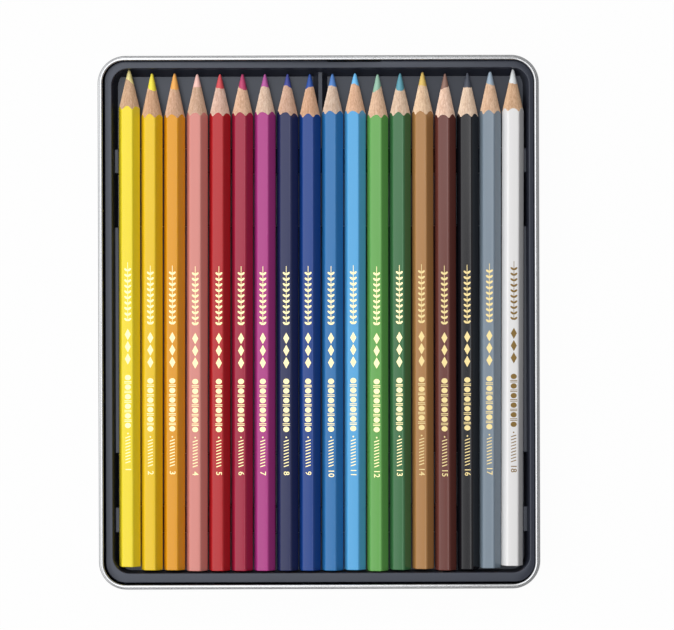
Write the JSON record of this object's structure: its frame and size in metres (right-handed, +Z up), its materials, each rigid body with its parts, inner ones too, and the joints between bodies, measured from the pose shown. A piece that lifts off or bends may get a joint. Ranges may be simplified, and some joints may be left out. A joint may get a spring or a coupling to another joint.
{
  "type": "coloured pencil tin",
  "caption": "Shallow round-cornered metal tin with a moulded tray of hexagonal coloured pencils in one row, its slip-on lid stowed under it.",
  "frame": {"origin": "centre of the tin, on the surface that it stands on", "axes": "+X along the row of pencils, +Y towards the pencils' points, +Z up"},
  "size_m": [0.1554, 0.188, 0.013],
  "materials": {
    "tinplate": "bright bare tinplate, satin",
    "tray_plastic": "satin blue-grey moulded plastic",
    "lacquer_01": "lemon gloss lacquer on cedar, bare wood on the cone and the cut end",
    "core_01": "lemon waxy coloured core",
    "lacquer_02": "golden yellow gloss lacquer on cedar, bare wood on the cone and the cut end",
    "core_02": "golden yellow waxy coloured core",
    "lacquer_03": "orange gloss lacquer on cedar, bare wood on the cone and the cut end",
    "core_03": "orange waxy coloured core",
    "lacquer_04": "salmon gloss lacquer on cedar, bare wood on the cone and the cut end",
    "core_04": "salmon waxy coloured core",
    "lacquer_05": "scarlet gloss lacquer on cedar, bare wood on the cone and the cut end",
    "core_05": "scarlet waxy coloured core",
    "lacquer_06": "carmine gloss lacquer on cedar, bare wood on the cone and the cut end",
    "core_06": "carmine waxy coloured core",
    "lacquer_07": "magenta gloss lacquer on cedar, bare wood on the cone and the cut end",
    "core_07": "magenta waxy coloured core",
    "lacquer_08": "dark violet gloss lacquer on cedar, bare wood on the cone and the cut end",
    "core_08": "dark violet waxy coloured core",
    "lacquer_09": "dark blue gloss lacquer on cedar, bare wood on the cone and the cut end",
    "core_09": "dark blue waxy coloured core",
    "lacquer_10": "mid blue gloss lacquer on cedar, bare wood on the cone and the cut end",
    "core_10": "mid blue waxy coloured core",
    "lacquer_11": "sky blue gloss lacquer on cedar, bare wood on the cone and the cut end",
    "core_11": "sky blue waxy coloured core",
    "lacquer_12": "light green gloss lacquer on cedar, bare wood on the cone and the cut end",
    "core_12": "light green waxy coloured core",
    "lacquer_13": "dark green gloss lacquer on cedar, bare wood on the cone and the cut end",
    "core_13": "dark green waxy coloured core",
    "lacquer_14": "ochre gloss lacquer on cedar, bare wood on the cone and the cut end",
    "core_14": "ochre waxy coloured core",
    "lacquer_15": "brown gloss lacquer on cedar, bare wood on the cone and the cut end",
    "core_15": "brown waxy coloured core",
    "lacquer_16": "black gloss lacquer on cedar, bare wood on the cone and the cut end",
    "core_16": "black waxy coloured core",
    "lacquer_17": "grey gloss lacquer on cedar, bare wood on the cone and the cut end",
    "core_17": "grey waxy coloured core",
    "lacquer_18": "white gloss lacquer on cedar, bare wood on the cone and the cut end",
    "core_18": "white waxy coloured core"
  },
  "bodies": {
    "lid": {"lid": "tinplate"},
    "tin_base": {"tin_base": "tinplate"},
    "tray": {"tray": "tray_plastic"},
    "pencil_01": {"pencil_01_casing": "lacquer_01", "pencil_01_lead": "core_01"},
    "pencil_02": {"pencil_02_casing": "lacquer_02", "pencil_02_lead": "core_02"},
    "pencil_03": {"pencil_03_casing": "lacquer_03", "pencil_03_lead": "core_03"},
    "pencil_04": {"pencil_04_casing": "lacquer_04", "pencil_04_lead": "core_04"},
    "pencil_05": {"pencil_05_casing": "lacquer_05", "pencil_05_lead": "core_05"},
    "pencil_06": {"pencil_06_casing": "lacquer_06", "pencil_06_lead": "core_06"},
    "pencil_07": {"pencil_07_casing": "lacquer_07", "pencil_07_lead": "core_07"},
    "pencil_08": {"pencil_08_casing": "lacquer_08", "pencil_08_lead": "core_08"},
    "pencil_09": {"pencil_09_casing": "lacquer_09", "pencil_09_lead": "core_09"},
    "pencil_10": {"pencil_10_casing": "lacquer_10", "pencil_10_lead": "core_10"},
    "pencil_11": {"pencil_11_casing": "lacquer_11", "pencil_11_lead": "core_11"},
    "pencil_12": {"pencil_12_casing": "lacquer_12", "pencil_12_lead": "core_12"},
    "pencil_13": {"pencil_13_casing": "lacquer_13", "pencil_13_lead": "core_13"},
    "pencil_14": {"pencil_14_casing": "lacquer_14", "pencil_14_lead": "core_14"},
    "pencil_15": {"pencil_15_casing": "lacquer_15", "pencil_15_lead": "core_15"},
    "pencil_16": {"pencil_16_casing": "lacquer_16", "pencil_16_lead": "core_16"},
    "pencil_17": {"pencil_17_casing": "lacquer_17", "pencil_17_lead": "core_17"},
    "pencil_18": {"pencil_18_casing": "lacquer_18", "pencil_18_lead": "core_18"}
  },
  "joints": [
    {"name": "tin_lift", "type": "slide", "parent": "lid", "child": "tin_base", "axis": [0, 0, 1], "range_m": [0, 0.018]},
    {"name": "tray_lift", "type": "slide", "parent": "tin_base", "child": "tray", "axis": [0, 0, 1], "range_m": [0, 0.02]},
    {"name": "pencil_01_lift", "type": "slide", "parent": "tray", "child": "pencil_01", "axis": [0, 0, 1], "range_m": [0, 0.02]},
    {"name": "pencil_02_lift", "type": "slide", "parent": "tray", "child": "pencil_02", "axis": [0, 0, 1], "range_m": [0, 0.02]},
    {"name": "pencil_03_lift", "type": "slide", "parent": "tray", "child": "pencil_03", "axis": [0, 0, 1], "range_m": [0, 0.02]},
    {"name": "pencil_04_lift", "type": "slide", "parent": "tray", "child": "pencil_04", "axis": [0, 0, 1], "range_m": [0, 0.02]},
    {"name": "pencil_05_lift", "type": "slide", "parent": "tray", "child": "pencil_05", "axis": [0, 0, 1], "range_m": [0, 0.02]},
    {"name": "pencil_06_lift", "type": "slide", "parent": "tray", "child": "pencil_06", "axis": [0, 0, 1], "range_m": [0, 0.02]},
    {"name": "pencil_07_lift", "type": "slide", "parent": "tray", "child": "pencil_07", "axis": [0, 0, 1], "range_m": [0, 0.02]},
    {"name": "pencil_08_lift", "type": "slide", "parent": "tray", "child": "pencil_08", "axis": [0, 0, 1], "range_m": [0, 0.02]},
    {"name": "pencil_09_lift", "type": "slide", "parent": "tray", "child": "pencil_09", "axis": [0, 0, 1], "range_m": [0, 0.02]},
    {"name": "pencil_10_lift", "type": "slide", "parent": "tray", "child": "pencil_10", "axis": [0, 0, 1], "range_m": [0, 0.02]},
    {"name": "pencil_11_lift", "type": "slide", "parent": "tray", "child": "pencil_11", "axis": [0, 0, 1], "range_m": [0, 0.02]},
    {"name": "pencil_12_lift", "type": "slide", "parent": "tray", "child": "pencil_12", "axis": [0, 0, 1], "range_m": [0, 0.02]},
    {"name": "pencil_13_lift", "type": "slide", "parent": "tray", "child": "pencil_13", "axis": [0, 0, 1], "range_m": [0, 0.02]},
    {"name": "pencil_14_lift", "type": "slide", "parent": "tray", "child": "pencil_14", "axis": [0, 0, 1], "range_m": [0, 0.02]},
    {"name": "pencil_15_lift", "type": "slide", "parent": "tray", "child": "pencil_15", "axis": [0, 0, 1], "range_m": [0, 0.02]},
    {"name": "pencil_16_lift", "type": "slide", "parent": "tray", "child": "pencil_16", "axis": [0, 0, 1], "range_m": [0, 0.02]},
    {"name": "pencil_17_lift", "type": "slide", "parent": "tray", "child": "pencil_17", "axis": [0, 0, 1], "range_m": [0, 0.02]},
    {"name": "pencil_18_lift", "type": "slide", "parent": "tray", "child": "pencil_18", "axis": [0, 0, 1], "range_m": [0, 0.02]}
  ]
}
